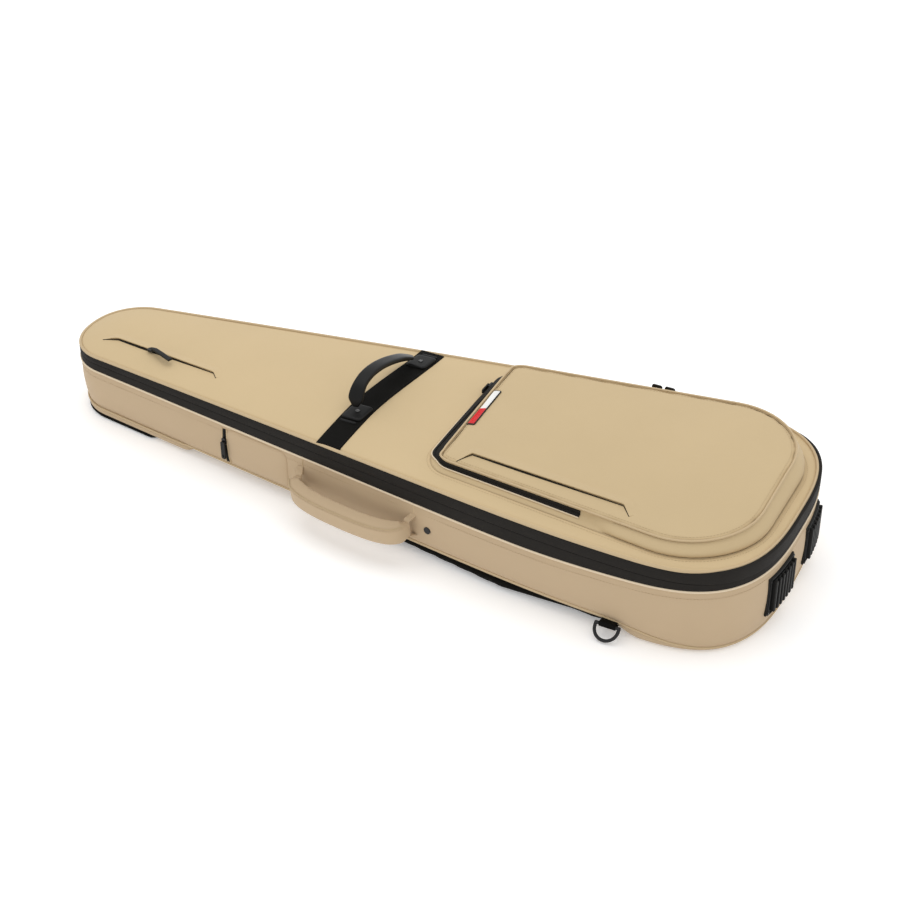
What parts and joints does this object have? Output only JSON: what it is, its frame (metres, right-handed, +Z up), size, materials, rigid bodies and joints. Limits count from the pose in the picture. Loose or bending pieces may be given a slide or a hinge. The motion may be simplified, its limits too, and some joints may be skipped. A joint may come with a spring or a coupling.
{
  "type": "padded gig bag",
  "caption": "Padded guitar gig bag lying on its back: hinged zip lid, accessory pocket with folding flap, strap, two handles, feet and D-rings.",
  "frame": {"origin": "on the floor under the middle of the bag, on the flat underside of the black back pad", "axes": "+X from the head end to the body end, +Y to the hinge side, -Y to the side with the carrying handle, +Z up through the lid"},
  "size_m": [1.0793, 0.3988, 0.1681],
  "materials": {
    "tan_fabric": "matte",
    "black_fabric": "matte",
    "zip_tape": "matte",
    "zip_coil": "satin",
    "foam": "matte",
    "lining": "matte",
    "rubber": "satin",
    "black_metal": "satin",
    "rivet": "satin",
    "badge": "satin"
  },
  "bodies": {
    "shell": {"side_wall": "tan_fabric", "side_foam": "foam", "side_lining": "lining", "back_panel": "tan_fabric", "back_foam": "foam", "back_lining": "lining", "back_pad": "black_fabric", "strap_pocket": "tan_fabric", "head_bumper": "black_fabric", "wall_piping": "tan_fabric", "lower_zip_tape": "zip_tape", "lower_coil": "zip_coil", "hinge_strip": "black_fabric", "neck_cradle": "foam", "neck_strap": "black_fabric", "end_blocks": "foam", "headstock_pad": "foam", "side_pocket": "tan_fabric", "side_pocket_zip": "zip_tape", "side_handle_tabs": "black_fabric", "side_stud": "rubber", "foot_near": "rubber", "foot_far": "rubber", "foot_rivets": "rivet", "d_ring_tabs": "black_fabric"},
    "lid": {"lid_panel": "tan_fabric", "lid_foam": "foam", "lid_lining": "lining", "lid_piping": "tan_fabric", "upper_zip_tape": "zip_tape", "upper_coil": "zip_coil", "lid_strap": "black_fabric", "grip_tabs": "rubber", "grip_rivets": "rivet", "head_slash_lip": "tan_fabric", "head_slash_zip": "zip_tape", "pocket_gusset": "tan_fabric", "pocket_zip_tape": "zip_tape", "pocket_face": "tan_fabric"},
    "flap": {"pocket_flap": "tan_fabric", "face_slash_lip": "tan_fabric", "badge": "badge"},
    "grip": {"grip_handle": "rubber"},
    "side_grip": {"side_handle": "tan_fabric"},
    "ring_near": {"d_ring_near": "black_metal"},
    "ring_far": {"d_ring_far": "black_metal"},
    "side_slider": {"side_pocket_slider": "black_metal"},
    "side_pull": {"side_pocket_pull": "rubber"},
    "main_slide_a": {"main_slider_a": "black_metal"},
    "main_slide_b": {"main_slider_b": "black_metal"},
    "main_tab_a": {"main_pull_a": "rubber"},
    "main_tab_b": {"main_pull_b": "rubber"},
    "head_slide": {"head_slider": "black_metal"},
    "head_tab": {"head_pull": "rubber"},
    "pocket_slide": {"pocket_slider": "black_metal"},
    "pocket_tab": {"pocket_pull": "rubber"}
  },
  "joints": [
    {"name": "lid_hinge", "type": "hinge", "parent": "shell", "child": "lid", "pos_m": [0, 0.14352, 0.101], "axis": [-0.9905, -0.1367, -0.0147], "range_deg": [0, 170]},
    {"name": "flap_fold", "type": "hinge", "parent": "lid", "child": "flap", "pos_m": [0.077, 0.108, 0.14566], "axis": [-0.6644, 0.7468, -0.0276], "range_deg": [0, 40]},
    {"name": "grip_tilt", "type": "hinge", "parent": "lid", "child": "grip", "pos_m": [-0.061, 0.022, 0.1311], "axis": [0, 1, 0], "range_deg": [-45, 45]},
    {"name": "side_handle_swing", "type": "hinge", "parent": "shell", "child": "side_grip", "pos_m": [-0.01856, -0.14991, 0.052], "axis": [-0.9906, 0.1367, 0], "range_deg": [-25, 65]},
    {"name": "d_ring_near_swing", "type": "hinge", "parent": "shell", "child": "ring_near", "pos_m": [0.362, -0.18357, 0.0175], "axis": [-1, 0, 0], "range_deg": [-25, 70]},
    {"name": "d_ring_far_swing", "type": "hinge", "parent": "shell", "child": "ring_far", "pos_m": [0.362, 0.18357, 0.0175], "axis": [1, 0, 0], "range_deg": [-25, 70]},
    {"name": "side_slider_slide", "type": "slide", "parent": "shell", "child": "side_slider", "axis": [0, 0, 1], "range_m": [-0.022, 0.01]},
    {"name": "side_pull_swing", "type": "hinge", "parent": "side_slider", "child": "side_pull", "pos_m": [-0.23698, -0.11556, 0.058], "axis": [-0.9906, 0.1367, 0], "range_deg": [0, 150]},
    {"name": "main_slider_a_slide", "type": "slide", "parent": "lid", "child": "main_slide_a", "axis": [-0.9953, -0.0955, -0.0147], "range_m": [0, 0.008]},
    {"name": "main_slider_b_slide", "type": "slide", "parent": "lid", "child": "main_slide_b", "axis": [0.9985, 0.0523, 0.0148], "range_m": [0, 0.06]},
    {"name": "main_pull_a_swing", "type": "hinge", "parent": "main_slide_a", "child": "main_tab_a", "pos_m": [0.271, 0.17985, 0.11014], "axis": [-1, 0, 0], "range_deg": [0, 185]},
    {"name": "main_pull_b_swing", "type": "hinge", "parent": "main_slide_b", "child": "main_tab_b", "pos_m": [0.289, 0.18119, 0.11014], "axis": [-1, 0, 0], "range_deg": [0, 185]},
    {"name": "head_slider_slide", "type": "slide", "parent": "lid", "child": "head_slide", "axis": [0.9976, -0.0663, 0.0207], "range_m": [-0.045, 0.09]},
    {"name": "head_pull_swing", "type": "hinge", "parent": "head_slide", "child": "head_tab", "pos_m": [-0.4014, -0.03893, 0.12], "axis": [-0.0663, -0.9978, 0], "range_deg": [0, 150]},
    {"name": "pocket_slider_slide", "type": "slide", "parent": "lid", "child": "pocket_slide", "axis": [0, -1, 0], "range_m": [0, 0.13]},
    {"name": "pocket_pull_swing", "type": "hinge", "parent": "pocket_slide", "child": "pocket_tab", "pos_m": [0.0708, 0.074, 0.13166], "axis": [0, 0, -1], "range_deg": [0, 150]}
  ]
}
